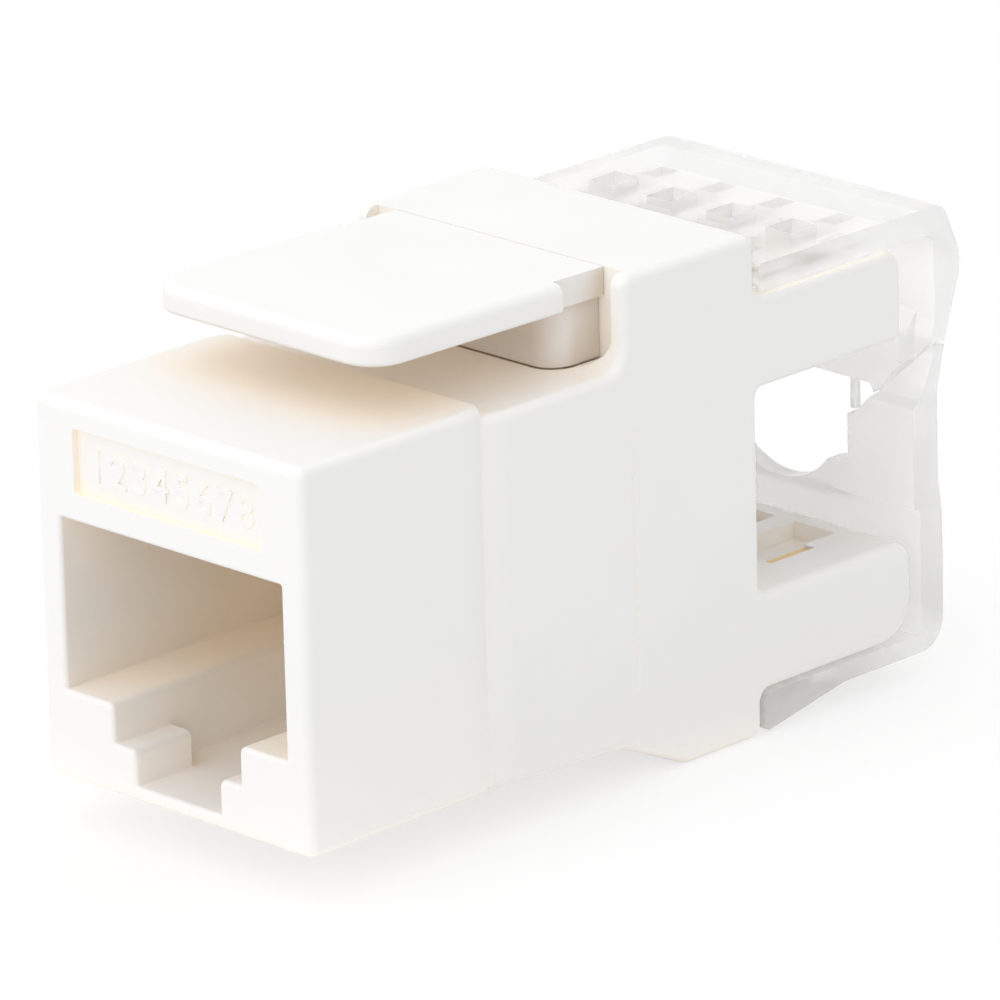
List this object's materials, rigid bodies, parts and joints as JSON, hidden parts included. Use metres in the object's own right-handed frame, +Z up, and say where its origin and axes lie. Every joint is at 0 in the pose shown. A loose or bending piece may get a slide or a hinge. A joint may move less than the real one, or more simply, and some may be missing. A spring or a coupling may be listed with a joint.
{
  "type": "keystone jack",
  "caption": "Snap-in keystone jack with a modular plug port in front, a sprung latch on top, wire combs at the rear and clear lift-off wire caps.",
  "frame": {"origin": "middle of the front face's lower edge, at the mouth of the plug port", "axes": "+Y from the front face to the rear where the cable leaves, +Z up towards the latch, +X across"},
  "size_m": [0.0144, 0.0361, 0.0207],
  "materials": {
    "white_plastic": "satin moulded",
    "board": "satin solder mask",
    "gold_plate": "polished plating",
    "contact_metal": "stamped strip",
    "clear_plastic": "clear moulded polycarbonate"
  },
  "bodies": {
    "jack_body": {"front_shell": "white_plastic", "rear_housing": "white_plastic", "contact_carrier": "white_plastic", "circuit_board": "board", "spring_contact_1": "gold_plate", "spring_contact_2": "gold_plate", "spring_contact_3": "gold_plate", "spring_contact_4": "gold_plate", "spring_contact_5": "gold_plate", "spring_contact_6": "gold_plate", "spring_contact_7": "gold_plate", "spring_contact_8": "gold_plate", "idc_contact_1": "contact_metal", "idc_contact_2": "contact_metal", "idc_contact_3": "contact_metal", "idc_contact_4": "contact_metal", "idc_contact_5": "contact_metal", "idc_contact_6": "contact_metal", "idc_contact_7": "contact_metal", "idc_contact_8": "contact_metal"},
    "latch": {"latch": "white_plastic"},
    "upper_cap": {"upper_cap": "clear_plastic"},
    "lower_cap": {"lower_cap": "clear_plastic"}
  },
  "joints": [
    {"name": "latch_press", "type": "hinge", "parent": "jack_body", "child": "latch", "pos_m": [0, 0.0173, 0.015], "axis": [1, 0, 0], "range_deg": [0, 8], "stiffness_Nm_per_rad": 0.3},
    {"name": "upper_cap_lift", "type": "slide", "parent": "jack_body", "child": "upper_cap", "axis": [0, 0, 1], "range_m": [0, 0.008]},
    {"name": "lower_cap_drop", "type": "slide", "parent": "jack_body", "child": "lower_cap", "axis": [0, 0, -1], "range_m": [0, 0.012]}
  ]
}
